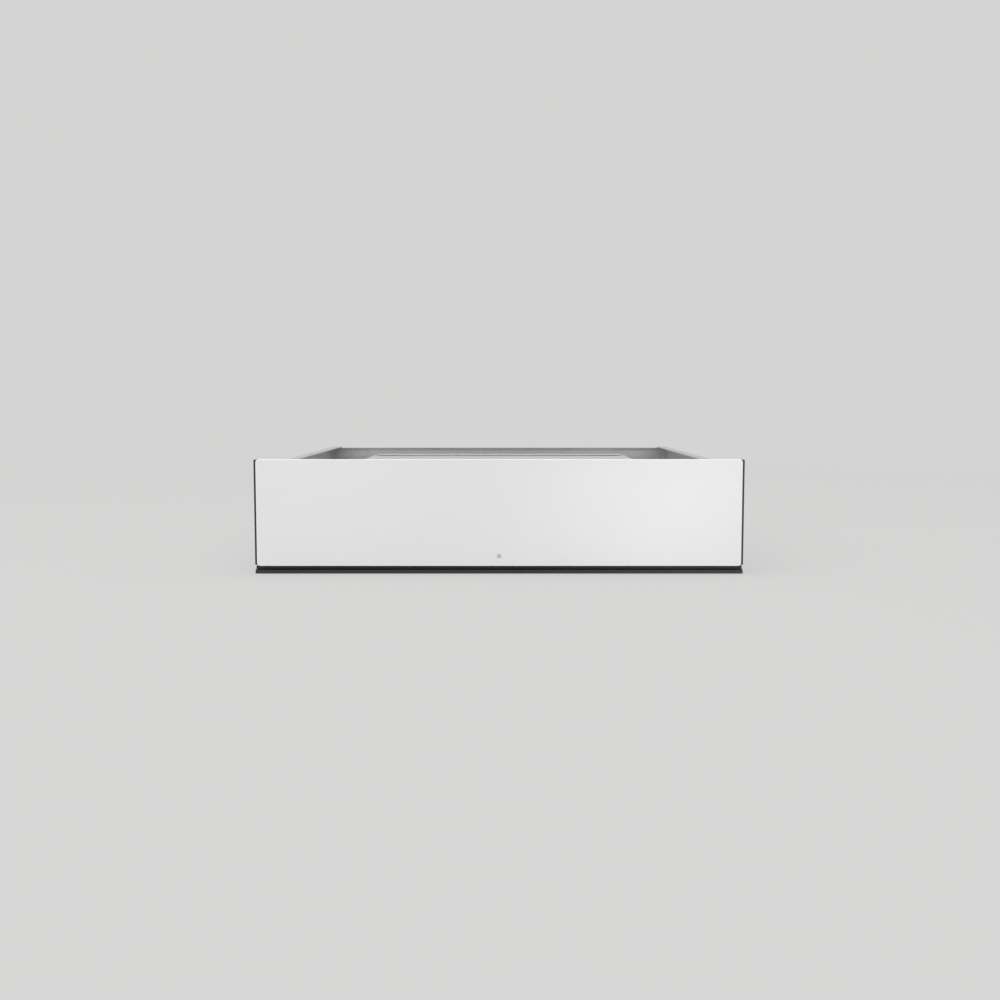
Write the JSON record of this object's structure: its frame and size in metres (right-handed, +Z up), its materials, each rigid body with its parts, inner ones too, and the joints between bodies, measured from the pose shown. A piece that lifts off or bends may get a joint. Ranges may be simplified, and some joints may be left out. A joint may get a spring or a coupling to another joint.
{
  "type": "vacuum sealing drawer",
  "caption": "Built-in vacuum sealing drawer with a white glass front, a steel carcass on slides, and a chamber, lid and pump in the drawer.",
  "frame": {"origin": "centre of the whole box's underside, on the niche floor that the carcass stands on", "axes": "+X to the right seen from the front, -Y out of the front, +Z up"},
  "size_m": [0.595, 0.55, 0.14],
  "materials": {
    "white_glass": "gloss",
    "black_glass": "gloss",
    "clear_glass": "gloss",
    "dark_trim": "satin",
    "galvanised_steel": "satin",
    "slide_steel": "satin",
    "stainless_steel": "satin",
    "bright_steel": "polished",
    "cast_alloy": "matte",
    "transformer_iron": "matte",
    "heating_metal": "satin",
    "black_plastic": "matte",
    "grey_plastic": "matte",
    "white_plastic": "satin",
    "board_green": "satin",
    "black_rubber": "matte",
    "grey_silicone": "matte"
  },
  "bodies": {
    "carcass": {"carcass_floor": "galvanised_steel", "carcass_left_wall": "galvanised_steel", "carcass_right_wall": "galvanised_steel", "carcass_rear_wall": "galvanised_steel", "front_cross_rail": "galvanised_steel", "lower_trim": "dark_trim", "outer_slides": "slide_steel", "slide_bumpers": "black_rubber", "latch_body": "grey_plastic", "terminal_box": "grey_plastic", "terminal_block": "white_plastic", "cable_gland": "black_plastic", "coiled_lead": "black_rubber", "carcass_screws": "bright_steel"},
    "latch_plunger": {"latch_plunger": "black_plastic"},
    "left_middle_slide": {"left_middle_slide": "slide_steel"},
    "right_middle_slide": {"right_middle_slide": "slide_steel"},
    "left_outer_cage": {"left_outer_ball_cage": "bright_steel"},
    "right_outer_cage": {"right_outer_ball_cage": "bright_steel"},
    "left_inner_cage": {"left_inner_ball_cage": "bright_steel"},
    "right_inner_cage": {"right_inner_ball_cage": "bright_steel"},
    "drawer": {"inner_slides": "slide_steel", "drawer_tray": "galvanised_steel", "drawer_left_side": "galvanised_steel", "drawer_right_side": "galvanised_steel", "deck_plate": "stainless_steel", "front_carrier": "dark_trim", "front_glass": "white_glass", "control_glass": "black_glass", "control_board": "board_green", "power_board": "board_green", "board_spacers": "grey_plastic", "sealing_transformer": "transformer_iron", "valve_block": "cast_alloy", "vacuum_hoses": "grey_silicone", "wiring_harness": "black_rubber", "lead_grommet": "black_rubber", "chamber_tub": "stainless_steel", "suction_cover": "stainless_steel", "lift_cylinders": "cast_alloy", "hinge_brackets": "stainless_steel", "hinge_pins": "bright_steel", "pump_motor": "cast_alloy", "pump_end_bell": "black_plastic", "pump_stage": "cast_alloy", "pump_stage_cover": "cast_alloy", "pump_bracket": "galvanised_steel", "pump_mounts": "black_rubber", "fan_frame": "black_plastic", "drawer_screws": "bright_steel", "strike_plate": "bright_steel"},
    "seal_bar": {"seal_bar": "cast_alloy", "heating_band": "heating_metal"},
    "lid": {"lid_glass": "clear_glass", "lid_seal": "grey_silicone", "lid_hinge_rail": "stainless_steel", "lid_grip": "stainless_steel", "counter_bar": "grey_silicone"},
    "fan_rotor": {"fan_rotor": "black_plastic"},
    "pump_shaft": {"pump_shaft": "bright_steel"}
  },
  "joints": [
    {"name": "drawer_slide", "type": "slide", "parent": "carcass", "child": "drawer", "axis": [0, -1, 0], "range_m": [-0.003, 0.44], "deforming": ["coiled_lead"]},
    {"name": "left_middle_slide_travel", "type": "slide", "parent": "carcass", "child": "left_middle_slide", "axis": [0, -1, 0], "range_m": [-0.0015, 0.22]},
    {"name": "left_outer_cage_travel", "type": "slide", "parent": "carcass", "child": "left_outer_cage", "axis": [0, -1, 0], "range_m": [-0.00075, 0.11]},
    {"name": "left_inner_cage_travel", "type": "slide", "parent": "carcass", "child": "left_inner_cage", "axis": [0, -1, 0], "range_m": [-0.00225, 0.33]},
    {"name": "right_middle_slide_travel", "type": "slide", "parent": "carcass", "child": "right_middle_slide", "axis": [0, -1, 0], "range_m": [-0.0015, 0.22]},
    {"name": "right_outer_cage_travel", "type": "slide", "parent": "carcass", "child": "right_outer_cage", "axis": [0, -1, 0], "range_m": [-0.00075, 0.11]},
    {"name": "right_inner_cage_travel", "type": "slide", "parent": "carcass", "child": "right_inner_cage", "axis": [0, -1, 0], "range_m": [-0.00225, 0.33]},
    {"name": "latch_press", "type": "slide", "parent": "carcass", "child": "latch_plunger", "axis": [0, 1, 0], "range_m": [0, 0.005], "stiffness_N_per_m": 400, "springref_m": -0.003},
    {"name": "seal_bar_lift", "type": "slide", "parent": "drawer", "child": "seal_bar", "axis": [0, 0, 1], "range_m": [0, 0.008]},
    {"name": "lid_hinge", "type": "hinge", "parent": "drawer", "child": "lid", "pos_m": [0, 0.1141, 0.1226], "axis": [-1, 0, 0], "range_deg": [0, 75]},
    {"name": "fan_spin", "type": "hinge", "parent": "drawer", "child": "fan_rotor", "pos_m": [0.2121, 0.216, 0.0532], "axis": [0, 1, 0], "continuous": true},
    {"name": "pump_spin", "type": "hinge", "parent": "drawer", "child": "pump_shaft", "pos_m": [0, 0.1555, 0.0572], "axis": [1, 0, 0], "continuous": true}
  ],
  "couplings": [
    {"joint": "left_middle_slide_travel", "follows": "drawer_slide", "ratio": 0.5},
    {"joint": "left_outer_cage_travel", "follows": "drawer_slide", "ratio": 0.25},
    {"joint": "left_inner_cage_travel", "follows": "drawer_slide", "ratio": 0.75},
    {"joint": "right_middle_slide_travel", "follows": "drawer_slide", "ratio": 0.5},
    {"joint": "right_outer_cage_travel", "follows": "drawer_slide", "ratio": 0.25},
    {"joint": "right_inner_cage_travel", "follows": "drawer_slide", "ratio": 0.75}
  ]
}
